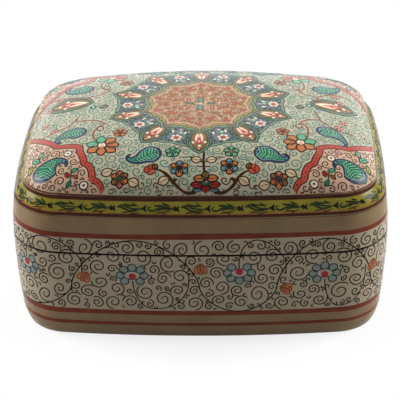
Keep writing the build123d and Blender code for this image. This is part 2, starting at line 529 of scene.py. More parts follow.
def pack_discs(cells, largest, smallest, wrap=1e9):
    """Discs (x, y, radius, step to what it touches): each goes where it just fits beside another."""
    spots, laid, room, to = cells
    discs = []
    while len(room):
        cap = rng.uniform(0.62, 1) * largest
        snug = np.where(room < cap + 0.5, np.minimum(room, cap), -1) + rng.uniform(0, 0.25, len(room))
        best = int(np.argmax(snug))
        radius = min(room[best], cap)
        if radius < smallest or snug[best] < 0:
            break
        discs.append((*spots[best], radius, *to[best]))
        away = np.linalg.norm(laid - laid[best], axis=1)
        edge = away - radius
        nearer = edge < room
        apart = spots[best] - spots[nearer]
        apart[:, 0] = np.mod(apart[:, 0] + wrap / 2, wrap) - wrap / 2
        room[nearer] = edge[nearer]
        to[nearer] = apart * (edge[nearer] / np.maximum(away[nearer], 1e-6))[:, None]
        if len(discs) % 20 == 0:
            keep = room > smallest * 0.8
            spots, laid, room, to = spots[keep], laid[keep], room[keep], to[keep]
    return np.array(discs)


def curl_path(disc, spread, wide_from=2.2, small_to=1.1):
    """A spiral from the touching point into its disc: the radius falls as the turn to the power 1.1.

    Wide ones turn about one and a half times, small ones about once, and each is squashed a little.
    """
    at, radius = disc[:2], disc[2]
    toward = disc[3:] / (settled(at + 1.0, at, spread) - at)
    start = hypot(*toward)
    hand = rng.choice([-1, 1])
    turns = 1.4 if radius > wide_from else 1.1 if radius > small_to else 0.75
    turns += rng.uniform(0, 0.35)
    t = np.linspace(0, 1, int(16 * turns) + 6)
    angle = atan2(toward[1], toward[0]) + hand * tau * turns * t
    reach = radius * 0.97 * (1 - 0.8 * t**1.1) + (start - radius * 0.97) * (1 - t) ** 8
    path = np.stack([reach * np.cos(angle), reach * np.sin(angle)], -1)
    lean = rng.uniform(0, pi)
    narrow = np.array([cos(lean), sin(lean)])
    squash = rng.uniform(0, 0.24) * np.minimum(1, 3 * t)
    path = path - (squash * (path @ narrow))[:, None] * narrow
    return settled(at + path, at, spread)


# Colours from 0 to 255, as they look in plain light

def linear(shades):
    """Red, green and blue of 0 to 255, as the linear values that a shader takes."""
    c = np.array(shades) / 255
    return np.where(c < 0.04045, c / 12.92, ((c + 0.055) / 1.055) ** 2.4)


def new_material(name):
    """A material, its nodes, its links and its shader."""
    material = bpy.data.materials.new(name)
    material.use_nodes = True
    nodes = material.node_tree.nodes
    return material, nodes, material.node_tree.links, nodes["Principled BSDF"]


def gloss(name, colour, grain=0.06, grain_size=14.0, other=None):
    """Brushed colour under clear varnish: a soft noise makes it a little lighter and darker, or mixes
    it with another colour."""
    material, nodes, links, shader = new_material(name)
    shader.inputs["Roughness"].default_value = 0.6
    shader.inputs["Specular IOR Level"].default_value = 0.0
    shader.inputs["Coat Weight"].default_value = 1.0
    shader.inputs["Coat IOR"].default_value = 1.2
    shader.inputs["Coat Roughness"].default_value = 0.2
    place = nodes.new("ShaderNodeTexCoord")
    noise = nodes.new("ShaderNodeTexNoise")
    noise.inputs["Scale"].default_value = grain_size * 10
    noise.inputs["Detail"].default_value = 4
    shades = nodes.new("ShaderNodeValToRGB")
    darker, lighter = shades.color_ramp.elements
    darker.position = 0.3
    lighter.position = 0.7
    darker.color = (*linear(colour) * (1 - grain), 1)
    lighter.color = (*np.minimum(linear(other or colour) * (1 + grain), 1), 1)
    links.new(place.outputs["Object"], noise.inputs["Vector"])
    links.new(noise.outputs["Fac"], shades.inputs["Fac"])
    links.new(shades.outputs["Color"], shader.inputs["Base Color"])
    return material


taupe = gloss("taupe_ground", (119, 99, 71), 0.10, 10)
scroll_ground = gloss("scroll_ground", (146, 138, 113), 0.05, 12, other=(149, 134, 115))
yellow_green = gloss("yellow_green_band", (124, 116, 38), 0.18, 16)
sage = gloss("sage_ground", (156, 162, 141), 0.03, 16, other=(172, 159, 137))
blush_ground = gloss("blush_ground", (176, 156, 128), 0.04, 16, other=(186, 148, 130))
brown_red = gloss("brown_red_border", (99, 40, 23), 0.2, 20)
wash_brown = gloss("wash_brown", (126, 96, 44), 0.25, 20)
# Brown for the painted shade just above the pillow's foot
foot_shade_brown = gloss("foot_shade_brown", (84, 54, 36), 0.25, 20)
dark_brown = gloss("dark_brown_border", (60, 26, 13), 0.3, 20)
# Near-black for the painted shadow in the seam under the lid
seam_shadow_black = gloss("seam_shadow_black", (20, 16, 12))


def mix_paints(colours, chart, spread, grain):
    """A paint for each named colour, for one stretch of the box."""
    return {
        name: Paint(name, chart, spread, gloss(name, shade, grain, 40))
        for name, shade in colours.items()
    }


# The grounds

def columns_round(steps):
    """Distances round the box of its columns of points, with so many steps on each of its arcs."""
    arc = np.concatenate([np.full(n, k) for k, n in enumerate(steps)])
    share = np.concatenate([np.arange(n) / n for n in steps])
    return plan_ends[arc] + share * np.diff(plan_ends)[arc]


ground_columns = columns_round((42, 18, 60, 18, 84, 18, 60, 18, 42))


def dome_heights(first, last, steps):
    """Heights on the pillow at even turns of its curve, from one angle to another in degrees."""
    return shoulder_top + crown_rise * np.sin(np.radians(np.linspace(first, last, steps)))


def coat_shell(name, body, heights, material, crowned):
    """A closed coat: rings up the outside, then a wall's thickness in and back down the inside.

    A crowned coat ends in a single point at the top, outside and inside.
    """
    count = len(ground_columns)
    rows = len(heights)
    end = 2 * rows * count
    outside = round_the_side(ground_columns, heights[:, None], 0.0)
    inside = round_the_side(ground_columns, heights[::-1, None], -coat_thickness / layer_step)
    points = np.concatenate([outside, inside]).reshape(-1, 3)
    bottom = ring_to_ring(end - count, 0, count)
    if crowned:
        top = crown_top - ground_depth
        points = np.concatenate([points, [[0, 0, top], [0, 0, top - coat_thickness]]])
        triangles = np.concatenate([
            grid_triangles(rows, count, closed=True),
            grid_triangles(rows, count, first=rows * count, closed=True),
            fan_triangles((rows - 1) * count, count, end),
            fan_triangles(rows * count, count, end + 1)[:, [1, 0, 2]],
            bottom,
        ])
    else:
        triangles = np.concatenate([grid_triangles(2 * rows, count, closed=True), bottom])
    return add_piece(name, body, points, triangles, material)


base_heights = np.concatenate([side_heights[side_heights < seam_height], [seam_height]])
lid_heights = np.concatenate([
    [seam_height + seam_line],
    side_heights[side_heights > seam_height + seam_line],
    dome_heights(0, 88, 60)[1:],
])
base_ground = coat_shell("base_ground", "base", base_heights, taupe, crowned=False)
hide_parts("base_coat")
lid_ground = coat_shell("lid_ground", "lid", lid_heights, taupe, crowned=True)
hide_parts("lid_coat")


# Borders drawn round the box

def wobble(u, reach, waves, seed):
    """A slow unsteadiness of the hand round the box: a few sines that close on themselves."""
    draw = np.random.default_rng(seed)
    total = 0 * u
    for wave in range(1, waves + 1):
        swing = draw.normal() / wave**0.6
        total = total + swing * np.sin(wave * tau * u / perimeter + draw.uniform(0, tau))
    return reach * total / 2


def border(name, body, edges, lift, material, shake=0.15, seed=1):
    """A band round the box between two heights, each edge drawn with its own wobble."""
    low, high = edges
    columns = 480
    u = np.arange(columns) / columns * perimeter
    bottom = low + wobble(u, shake, 9, seed)
    top = high + wobble(u, shake, 9, seed + 100)
    rows = max(int(np.ceil((high - low) / lane_width)), 2) + 1
    share = np.linspace(0, 1, rows)[:, None]
    z = bottom + share * (top - bottom)
    points = round_the_side(u, z, lift)
    return add_piece(name, body, points, grid_triangles(rows, columns, closed=True), material)


seam_gap_top = seam_height + seam_line
border("base_scroll_field", "base", (scroll_field[0], seam_height - 0.01), 1.0, scroll_ground, shake=0.0)
border("lid_scroll_field", "lid", (seam_gap_top + 0.01, scroll_field[1]), 1.0, scroll_ground, shake=0.0)
border("foot_line", "base", foot_line, 2.0, brown_red, seed=11)
border("base_line", "base", base_line, 2.0, brown_red, seed=12)
border("lid_side_line", "lid", lid_side_line, 2.0, brown_red, shake=0.3, seed=13)
border("shoulder_band", "lid", shoulder_band, 1.0, yellow_green, shake=0.0, seed=14)
border("shoulder_wash", "lid", shoulder_wash, 1.4, wash_brown, shake=0.4, seed=17)
border("shoulder_line", "lid", shoulder_line, 2.0, dark_brown, seed=15)
border("pillow_foot_line", "lid", pillow_foot_line, 2.6, dark_brown, seed=16)
# Painted shade: a brown band just above the pillow's foot line
border("pillow_foot_shade", "lid", pillow_foot_shade, 2.2, foot_shade_brown, shake=0.5, seed=18)


# The scrollwork round the sides, drawn across the seam

wave_marks = np.array([0, 0.5, 1, 1.5, 6])
wave_places = np.array([-50.0, 0.0, 30.0, 68.5, perimeter - 50.0])
wave_middle = 25.0
wave_rise = 21.0
wave_fall = 11.4
main_stem_width = 0.54
branch_width = 0.48
side_curl_width = 0.52


def wave_u(phase):
    """Distance round the box at a phase of the main stem's wave; the hand drew its first waves uneven."""
    turns = np.floor(np.asarray(phase, float) / 6)
    return np.interp(phase - 6 * turns, wave_marks, wave_places) + turns * perimeter


def wave_path(points):
    """A smooth path through (phase, height) points."""
    p = np.asarray(points, float)
    return through(np.stack([wave_u(p[:, 0]), p[:, 1]], -1), step=0.5)


def main_stem():
    """The wave that runs all round: a sine to the power 0.6, taller above its middle than below."""
    phase = np.linspace(0, 6, 1500)
    wave = np.sin(tau * phase)
    height = np.sign(wave) * np.abs(wave) ** 0.6
    return np.stack([wave_u(phase), wave_middle + np.where(wave > 0, wave_rise, wave_fall) * height], -1)


def side_flower(at, up):
    """Seven pale petals in an oval about a red eye, open where the stem comes in."""
    for angle in (0, 46, -46, 90, -90, 138, -138):
        turn = radians(up * 90 + angle)
        middle = at + [4.5 * cos(turn), 3.5 * sin(turn)]
        petal = placed(ellipse(1.7, 1.65), middle, degrees(turn))
        side["petal_blue"].fill(petal, 3)
        side["petal_edge"].outline(petal, 0.5, 4)
    lens = placed(ellipse(3.2, 1.9, 18), at)
    side["petal_white"].fill(lens, 5)
    side["petal_edge"].outline(lens, 0.4, 6)
    side["eye_red"].dot(at - [0, 0.5 * up], 1.45, 6, steps=14)


def side_bud(at, turn):
    """An orange bud of three overlapping lobes."""
    for place, lean, long in ((-1.1, 24, 2.3), (1.1, -24, 2.3), (0.0, 0, 2.5)):
        lobe = placed(ellipse(long, 1.25), placed([0.3, place], at, turn), turn + lean)
        side["bud_orange"].fill(lobe, 3)
        side["bud_edge"].outline(lobe, 0.42, 4)


side_colours = {
    "scroll_black": (26, 16, 6),
    "petal_blue": (113, 121, 113),
    "petal_edge": (37, 53, 55),
    "petal_white": (152, 140, 126),
    "eye_red": (140, 34, 40),
    "bud_orange": (162, 100, 62),
    "bud_edge": (104, 54, 34),
}
side = mix_paints(side_colours, round_the_side, flat_spread, 0.12)
scroll = side["scroll_black"]

# The hand set the buds a little higher or lower on each wave
low_bud_heights = (29.0, 24.0, 28.0, 26.5, 29.5, 27.0)
low_bud_turns = (60, 165, 70, 120, 50, 90)
high_bud_heights = (33.3, 30.4, 32.6, 31.4, 33.0, 32.0)

# The two branches of each wave that end in flowers, as (phase, height)
low_branch = [(0.46, 32), (0.457, 26), (0.445, 22), (0.41, 17.5), (0.36, 15.2), (0.30, 15.2), (0.265, 18.5),
              (0.247, 23), (0.24, 28)]
high_branch = [(1.045, 31), (1.04, 37), (1.0, 42), (0.933, 45.3), (0.85, 46.2), (0.783, 43), (0.758, 38),
               (0.755, 34)]

stems = [main_stem()]
scroll.stroke(stems[0], main_stem_width, 3)
blooms = []
for wave in range(6):
    for branch in (low_branch, high_branch):
        stems.append(wave_path([(wave + phase, z) for phase, z in branch]))
        scroll.stroke(stems[-1], branch_width, 3)
    low_bloom = np.array([wave_u(wave + 0.24), 30.5])
    high_bloom = np.array([wave_u(wave + 0.757), 31.8])
    low_bud = np.array([wave_u(wave + 0.05), low_bud_heights[wave]])
    high_bud = np.array([wave_u(wave + 0.508), high_bud_heights[wave]])
    side_flower(low_bloom, 1)
    side_flower(high_bloom, -1)
    side_bud(low_bud, low_bud_turns[wave])
    side_bud(high_bud, 90)
    blooms += [(low_bloom, 5.5), (high_bloom, 5.5), (low_bud, 2.8), (high_bud, 2.8)]


def side_curls():
    """Fills the sides with spirals and, in what is left, with small hooks."""
    columns = 950
    cell = perimeter / columns
    low, high = scroll_curls
    u, z = np.meshgrid(np.arange(columns) * cell, np.arange(low, high, cell), indexing="ij")
    taken = np.zeros(u.shape, bool)
    lines = np.concatenate(stems)
    i = np.mod(np.round(lines[:, 0] / cell).astype(int), columns)
    j = np.clip(np.round((lines[:, 1] - low) / cell).astype(int), 0, u.shape[1] - 1)
    taken[i, j] = True
    for (x, y), radius in blooms:
        across = np.mod(u - x + perimeter / 2, perimeter) - perimeter / 2
        taken |= np.hypot(across / 1.15, z - y) < radius
    cells = free_room(u, z, round_the_side(u, z, 0), taken, cell, reach=5.4, slack=0.08, wrap=True)
    for disc in pack_discs(cells, largest=4.3, smallest=0.66, wrap=perimeter):
        path = curl_path(disc, flat_spread)
        scroll.stroke(path, side_curl_width, 3, head=0.05, tail=0.12)
        if disc[2] > 1.1:
            scroll.dot(path[-1], 0.32, 3, steps=6)


side_curls()


def painted_seam_shadow():
    """A near-black painted shadow in the seam under the lid: on the top edge of the base's coat, and a hair
    of its face.
    """
    count = 480
    u = np.arange(count) / count * perimeter
    z = np.array([seam_height - 0.3, seam_height, seam_height])[:, None]
    lifts = np.array([4.0, 4.0, -coat_thickness / layer_step])[:, None]
    points = round_the_side(u, z, lifts)
    points[1:, :, 2] += 0.02
    add_piece("painted_seam_shadow", "base", points, grid_triangles(3, count, closed=True), seam_shadow_black)


painted_seam_shadow()
for paint in side.values():
    paint.lay("base", high=seam_height - 0.03)
    if paint is scroll:
        paint.lay("lid", low=seam_gap_top + 0.03)


# The leafy vine on the band round the shoulder

band_colours = {"vine_black": (16, 14, 6), "vine_green": (44, 68, 26), "vine_brown": (74, 42, 18)}
band = mix_paints(band_colours, round_the_side, flat_spread, 0.15)
vine_count = 39

# The vine's two kinds of unit, each 12 long: bud, main stem, second stem, shoots above and shoots below
vine_kinds = (
    (
        [(-1.4, 0.1), (-0.4, 0.9), (0.2, 0.4), (1.2, 1.1), (1.0, 0.1), (1.5, -1.0), (0.3, -0.6),
         (-0.5, -0.8)],
        [(1.6, 0.3), (3.0, 0.6), (4.8, -0.2), (6.6, -0.9), (8.6, -0.8), (10.6, -0.1)],
        [(2.4, 1.1), (4.2, 1.0), (6.0, 0.2), (8.0, -0.1), (10.0, 0.1)],
        [[(4.0, 1.7), (5.4, 1.2), (6.8, 0.9), (8.6, 1.0)], [(7.2, 2.0), (8.0, 1.3), (9.6, 0.8)]],
        [[(3.6, -1.7), (5.0, -1.4), (6.6, -1.5)], [(6.4, -2.0), (8.4, -1.8), (10.2, -1.1)]],
    ),
    (
        [(-1.5, 0), (-0.2, -0.55), (1.0, -1.25), (0.75, 0), (1.0, 1.25), (-0.2, 0.55)],
        [(2.9, 0.5), (1.9, 0.5), (1.5, -0.1), (2.2, -0.75), (3.6, -0.7), (5.2, 0.1), (7.0, 0.6), (9.0, 0.4),
         (10.8, 0.1)],
        [(4.8, -1.2), (6.2, -0.3), (8.0, -0.1), (10.2, -0.2)],
        [[(3.8, 1.6), (4.1, 1.0), (5.6, 1.1), (7.4, 0.9)], [(6.6, 1.9), (7.8, 1.4), (9.4, 1.0)]],
        [[(4.2, -1.9), (5.8, -1.4), (8.0, -1.2), (10.0, -0.8)], [(6.8, -2.0), (7.8, -1.9), (8.2, -1.5)]],
    ),
)


def vine_unit(start, reach, kind):
    """One length of the vine: a black bud pointing back, a winding stem and the shoots beside it."""

    def along(points):
        """A slightly unsteady path through points of this length."""
        p = np.array(points, float) * [1.06 * reach / 12, 0.84] + [start - 0.2, vine_middle]
        return through(p + rng.uniform(-0.12, 0.12, p.shape), step=0.4)

    bud, main, second, above, below = vine_kinds[kind]
    for points, width in ((main, 0.66), (second, 0.5)):
        path = along(points)
        band["vine_black"].stroke(path, width, 3, head=0.2, tail=0.3)
        band["vine_green"].stroke(path[1:-2], 0.34 * width, 4, head=0.2, tail=0.4)
    band["vine_black"].fill(np.array(bud, float) + [start, vine_middle], 4, (start + 0.1, vine_middle))
    for points in above:
        band["vine_green"].stroke(along(points), 0.55, 3, head=0.3, tail=0.5)
        band["vine_black"].stroke(along(points), 0.36, 4, head=0.3, tail=0.5)
    for points in below:
        band["vine_brown"].stroke(along(points), 0.5, 3, head=0.3, tail=0.5)


for number in range(vine_count):
    kind = (number + vine_count // 2) % vine_count % 2
    vine_unit(3.6 + number * perimeter / vine_count, perimeter / vine_count, kind)
for paint in band.values():
    paint.lay("lid")


# The pillow of the lid

def crown_ground():
    """The pale field of the pillow: its rings up to one point in the middle."""
    heights = dome_heights(5, 88, 60)
    rings = round_the_side(ground_columns, heights[:, None], 1.0).reshape(-1, 3)
    count = len(ground_columns)
    points = np.concatenate([rings, [[0, 0, crown_top + lift_off(1.0)]]])
    fan = fan_triangles(len(rings) - count, count, len(rings))
    triangles = np.concatenate([grid_triangles(len(heights), count, closed=True), fan])
    return add_piece("crown_field", "lid", points, triangles, sage)


crown_ground()


# The flower field on the pillow, drawn in plan; the front half is repeated at the back

crown_colours = {
    "green_band": (110, 122, 102),
    "slate": (90, 102, 104),
    "umber": (116, 84, 48),
    "blush": (188, 166, 134),
    "field_tan": (168, 140, 110),
    "moss": (166, 156, 84),
    "cream": (216, 202, 172),
    "bone": (208, 194, 174),
    "pink": (206, 146, 130),
    "brick": (160, 66, 52),
    "coral": (162, 86, 62),
    "crimson": (152, 34, 36),
    "dark_red": (66, 22, 18),
    "orange": (172, 104, 58),
    "amber": (192, 150, 90),
    "leaf_green": (44, 124, 86),
    "deep_green": (30, 68, 52),
    "mint": (126, 176, 148),
    "pale_green": (92, 150, 116),
    "teal_line": (62, 106, 84),
    "navy": (36, 48, 64),
    "pale_blue": (92, 126, 132),
    "bark": (56, 32, 12),
    "sienna": (116, 70, 40),
    "ink": (30, 20, 12),
}
lid = mix_paints(crown_colours, over_the_crown, crown_spread, 0.12)

# Where the painting stops above the pillow's foot, and up to where it counts as steep; below that the curls
# are drawn darker, partly as painted shade
corner_border_foot = shoulder_top + 1.3
curl_room_foot = shoulder_top + 1.4
curl_foot = shoulder_top + 2.0
steep_top = shoulder_top + 7.0


def both_sides(points):
    """A closed outline, the same on both sides of the x axis, through half of its points."""
    half = through(points)
    return np.concatenate([half, half[-2:0:-1] * [1, -1]])


def rosette_petal(origin, turn, size=1.0):
    """A large petal that points outwards: green band, brown oval, pale drop and pearls."""

    def put(shape):
        """The shape, drawn for a petal along x, in this petal's place."""
        return placed(shape, origin, turn, size)

    rim = both_sides([(22.4, 0), (23.4, 2.2), (25.4, 3.9), (28.5, 4.8), (31.6, 4.9), (33.6, 4.3), (35.4, 3.0),
                      (38.0, 0)])
    oval = both_sides([(23.2, 0), (24.6, 2.0), (27.5, 3.1), (31, 3.2), (33.6, 2.4), (36.6, 0)])
    lid["green_band"].fill(put(rim), 3)
    lid["deep_green"].outline(put(rim), 0.6 * size, 4)
    lid["deep_green"].outline(put(placed(rim - [30, 0], (30.0, 0), 0, 0.85)), 0.38 * size, 3.6)
    lid["umber"].fill(put(oval), 4)
    lid["ink"].outline(put(oval), 0.4 * size, 5)
    lid["cream"].fill(put(placed(drop_shape(7.6, 4.4), (27.4, 0), 180)), 5)
    lid["pink"].fill(put(placed(drop_shape(5.6, 3.0), (28.6, 0), 180)), 6)
    lid["crimson"].fill(put(placed(drop_shape(5.0, 2.4), (30.2, 0), 180)), 7)
    lid["pink"].fill(put(placed(ellipse(0.9, 0.5, 8), (30.8, 0))), 8)
    for pearl in ((31.2, 2.3), (31.4, -2.3), (33.5, 0.2)):
        lid["bone"].dot(put(pearl), 0.68 * size, 6)
    lid["amber"].dot(put((35.0, 0)), 0.45 * size, 6)


def rosette_panel(turn):
    """A grey-blue panel between two petals: a white flower with a red eye, buds and fine dark curls."""

    def put(shape):
        """The shape, drawn for a panel along x, in this panel's place."""
        return placed(shape, (0, 0), turn)

    shape = both_sides([(20.4, 0), (21.2, 2.2), (23.6, 3.7), (27.5, 4.6), (31.0, 5.6), (33.0, 6.0),
                        (33.2, 3.2), (32.7, 0)])
    curls = [(23.6, 2.3), (26.0, 3.4), (27.0, 0.6), (28.0, 4.2), (30.8, 3.6), (32.0, 1.8), (32.0, 5.0)]
    lid["slate"].fill(put(shape), 2)
    lid["green_band"].outline(put(shape), 1.2, 3)
    lid["deep_green"].outline(put(placed(shape, (27, 0), 0, 1.09) - [27 * 1.09, 0]), 0.45, 4)
    lid["deep_green"].outline(put(placed(shape - [27, 0], (27, 0), 0, 0.84)), 0.35, 4)
    eye = (29.4, 0.2)
    for k in range(6):
        lid["bone"].dot(put(placed([1.6, 0], eye, 60 * k)), 0.72, 5)
    lid["crimson"].dot(put(eye), 1.1, 6)
    lid["coral"].dot(put((29.5, 0.3)), 0.6, 7)
    lid["mint"].dot(put((25.6, 0.9)), 0.85, 5)
    lid["pink"].dot(put((23.7, 0.2)), 0.6, 5)
    for hand in (-1, 1):
        lid["bone"].fill(put(placed(ellipse(1.0, 0.5, 9), (25.4, 2.5 * hand), -14 * hand)), 5)
        for points, width in (
            ([(22.6, 1.2), (24.2, 1.6), (26.8, 1.7)], 0.28),
            ([(27.6, 3.4), (29.4, 3.7), (31.4, 3.2)], 0.3),
            ([(31.7, 0.6), (31.2, 2.2), (30.4, 4.2)], 0.3),
        ):
            lid["navy"].stroke(put(through(points) * [1, hand]), width, 4)
        for x, y in curls:
            curl = curl_path(np.array([x, y * hand, 0.62, 0.62, 0.0]), crown_spread)
            lid["ink"].stroke(put(curl), 0.42, 4)


def small_flower(at, radius, petals, colours, turn=90, eye="ink", eye_share=0.3, line="bark", lift=5):
    """A flower of round petals about an eye; its petals take the colours in turn."""
    wide = 0.62 * radius * sin(pi / petals)
    petal = drop_shape(0.86 * radius, 2.9 * wide, 14, power=0.3)
    for k in range(petals):
        angle = turn + 360 * k / petals
        shape = settled(placed(petal, placed([0.58 * radius, 0], at, angle), angle), at)
        lid[colours[k % len(colours)]].fill(shape, lift)
        lid[line].outline(shape, 0.16 + 0.1 * radius, lift + 1)
    lid[eye].dot(at, eye_share * radius, lift + 2)


def leaf(at, turn, long, wide, colour, line, lift=5):
    """A pointed leaf with its outline and middle line."""
    shape = settled(placed(leaf_shape(long, wide), at, turn), at)
    lid[colour].fill(shape, lift)
    lid[line].outline(shape, 0.36 if long < 3 else 0.52, lift + 1)
    lid[line].stroke(settled(placed([(-0.35 * long, 0), (0.4 * long, 0)], at, turn), at), 0.28, lift + 1)


def tendril_leaf(at, turn):
    """A brown leaf with a pale middle, and the tendril that it hangs on."""
    leaf(at, turn, 4.8, 3.7, "blush", "bark")
    path = settled(placed([(-2.2, 0), (-3.2, 0.9), (-4.2, 0.5), (-4.4, -0.5)], at, turn), at)
    lid["bark"].stroke(through(path), 0.46, 5, tail=0.4)


def paisley_half(share):
    """Share of a paisley's half width along it: a round head up to its widest place, then a taper."""
    widest = 0.3
    head = np.sqrt(np.clip(1 - ((widest - share) / widest) ** 2, 0, 1))
    body = np.clip(1 - (share - widest) / (1 - widest), 0, 1) ** 1.25
    return np.where(share < widest, np.maximum(head, 0.05), 0.10 + 0.90 * body)


def paisley(points, wide):
    """A curled drop: nested strokes of navy, pale blue, navy and green, with veins across."""
    path = through(points)
    lid["navy"].stroke(path, wide, 4, swell=paisley_half)
    for trim, narrower, colour, end, lift in (
        (2, 1.6, "pale_blue", 0.84, 5),
        (3, 3.0, "navy", 0.80, 6),
        (4, 3.7, "leaf_green", 0.76, 7),
    ):
        inner = path[trim:max(int(end * len(path)), trim + 5)]
        lid[colour].stroke(inner, wide - narrower, lift, swell=paisley_half)
    for share in np.linspace(0.14, 0.56, 7):
        at = path[int(share * len(path))]
        ahead = path[int(share * len(path)) + 2] - at
        ahead = ahead / np.hypot(*ahead)
        left = np.array([-ahead[1], ahead[0]])
        reach = (wide - 3.4) / 2 * float(paisley_half(np.array(share)))
        for hand in (-1, 1):
            tip = at + hand * left * reach - ahead * 0.5
            lid["mint"].stroke(np.array([at + ahead * 0.7, tip]), 0.27, 8)
            lid["deep_green"].stroke(np.array([at + ahead * 1.2, tip + ahead * 0.55]), 0.28, 8)
    middle = path[int(0.08 * len(path)):int(0.62 * len(path))]
    lid["deep_green"].stroke(middle, 0.35, 8)


def stem(points, colour="bark", wide=0.55, lift=4, tail=0.15):
    """A fine stem that thins at its end."""
    lid[colour].stroke(through(points), wide, lift, tail=tail)


def scallops(angle, inner, outer):
    """Radius of a ring with ten points towards the petals and three small scallops between each two."""
    large = (outer - inner) * np.abs(np.sin(5 * (angle + pi / 2))) ** 0.8
    return outer - large - 0.9 * np.abs(np.sin(15 * (angle + pi / 2)))


def rosette():
    """The round centre of the lid: its ground, ten petals, ten panels and the ring of scallops."""
    angle = np.linspace(0, tau, 360, endpoint=False)

    def ring(inner, outer):
        """A closed ring of scallops."""
        r = scallops(angle, inner, outer)
        return np.stack([r * np.cos(angle), r * np.sin(angle)], -1)

    lid["green_band"].fill(ring(32.4, 34.0), 1.5, (0, 0))
    for number in range(10):
        rosette_panel(-72 + 36 * number)
    for number in range(10):
        rosette_petal((0, 0), -90 + 36 * number)
    lid["green_band"].fill(ring(22.6, 26.0), 5.4, (0, 0))
    lid["deep_green"].outline(ring(22.6, 26.0), 0.45, 6)
    lid["moss"].fill(ring(21.0, 24.2), 6, (0, 0))
    lid["ink"].outline(ring(21.1, 24.3), 0.42, 7)
    lid["bark"].outline(ring(20.4, 23.5), 0.24, 7)
    lid["field_tan"].fill(ring(19.6, 22.7), 7, (0, 0))
    lid["bark"].outline(ring(19.6, 22.7), 0.4, 8)


def rosette_flowers():
    """The crowded blooms inside the scallops, on rings about the middle."""

    def bloom(reach, turn, radius, petals, colours, eye):
        """A small flower at a distance from the middle, outlined in brown."""
        at = placed([reach, 0], (0, 0), turn)
        small_flower(at, radius, petals, colours, turn, eye=eye, line="sienna", lift=8)

    for number in range(10):
        turn = 36 * number - 90
        off = turn + 18
        bloom(17.6, turn, 2.0, 5, ["coral", "pink"], "brick")
        bloom(14.2, off, 2.6, 6, ["orange", "amber"], "brick")
        for hand in (-1, 1):
            leaf(placed([16.9, 1.7 * hand], (0, 0), off), off + 60 * hand, 2.6, 1.1, "moss", "sienna", 8)
        bloom(10.9, turn, 1.7, 5, ["amber", "coral"], "sienna")
        leaf(placed([13.8, 0], (0, 0), turn), turn, 3.0, 1.3, "green_band", "sienna", 8)
    for turn in range(30, 390, 60):
        bloom(7.2, turn, 2.5, 6, ["coral", "pink"], "amber")
        leaf(placed([9.4, 0], (0, 0), turn + 30), turn + 30, 2.6, 1.1, "amber", "sienna", 8)
    for hand in (-1, 1):
        lid["green_band"].fill(placed(ellipse(1.1, 2.4), (0, 3.7 * hand)), 9)
        lid["deep_green"].outline(placed(ellipse(1.2, 2.5), (0, 3.7 * hand)), 0.5, 9.5)
        leaf((4.3 * hand, 0.2), 0, 3.6, 1.5, "green_band", "deep_green", 9)
    lid["bone"].dot((0, 0), 0.7, 9.5)


def plan_grid(half_x, half_y, cell):
    """Plan points of an even grid over a part of the lid."""
    return np.meshgrid(*[np.arange(-half, half + 0.1, cell) for half in (half_x, half_y)], indexing="ij")


def mark_painted(taken, half_x, half_y, cell, above=0.0):
    """Marks the cells of a plan grid on which paint lies already, above the layer given."""
    for paint in lid.values():
        if paint.count:
            points = np.concatenate(paint.points)[np.concatenate(paint.lifts) > above]
            i = np.round((points[:, 0] + half_x) / cell).astype(int)
            j = np.round((points[:, 1] + half_y) / cell).astype(int)
            within = (i >= 0) & (i < taken.shape[0]) & (j >= 0) & (j < taken.shape[1])
            taken[i[within], j[within]] = True


def rosette_seeds():
    """Small dots and blooms that crowd what is left inside the scallops."""
    half, cell = 24, 0.35
    x, y = plan_grid(half, half, cell)
    taken = np.hypot(x, y) > scallops(np.arctan2(y, x), 18.3, 21.2)
    mark_painted(taken, half, half, cell, above=7.5)
    laid = crown_spread(np.stack([x, y], -1))
    cells = free_room(x, y, laid, taken, cell, reach=1.6, slack=-0.02)
    tints = ["coral", "amber", "moss", "orange", "sienna", "coral", "pink", "sienna", "umber", "green_band"]
    for number, disc in enumerate(pack_discs(cells, largest=0.95, smallest=0.28)):
        if disc[2] > 0.45 and number % 2:
            lid["sienna"].stroke(curl_path(disc, crown_spread, 9, 9), 0.3, 8.3)
        else:
            lid[tints[number // 2 % len(tints)]].dot(disc[:2], disc[2] * 0.9, 8, steps=7)


def scalloped(pieces):
    """One path of smooth pieces that meet in points."""
    return np.concatenate([through(piece) for piece in pieces])


def corner_border(points):
    """A red band with dark edges and a row of dots along a corner's scalloped edge."""
    path = scalloped(points)
    path = path[crown_height(path[:, 0], path[:, 1]) > corner_border_foot]
    lid["dark_red"].stroke(path, 3.1, 2.6)
    lid["brick"].stroke(path, 2.1, 3.2)
    for at in path[2:-2:4]:
        lid["dark_red"].dot(at, 0.3, 5, steps=6)


def corner_disc(at):
    """A white disc with a dark rim and a dot."""
    lid["ink"].dot(at, 1.9, 5, steps=16)
    lid["bone"].dot(at, 1.4, 6, steps=16)
    lid["ink"].dot(at, 0.5, 7)


def crown_address(path):
    """(distance round, height) of plan points: their share of the ring arc that passes through them."""
    z = crown_height(path[:, 0], path[:, 1])
    size = crown_size(z)[:, None]
    centre_x, centre_y, radii, first, sweep = outline_arcs(*crown_ring(size[:, 0]))
    qx, qy = path[:, :1] / size, path[:, 1:] / size
    angle = np.mod(np.arctan2(qy - centre_y, qx - centre_x) - first + pi, tau) - pi
    share = angle / sweep
    beyond = np.maximum(0, np.maximum(-share, share - 1))
    miss = np.abs(np.hypot(qx - centre_x, qy - centre_y) - radii) + 50 * beyond
    arc = np.argmin(miss, axis=1)
    share = np.take_along_axis(share, arc[:, None], 1)[:, 0]
    return plan_ends[arc] + share * np.diff(plan_ends)[arc], z


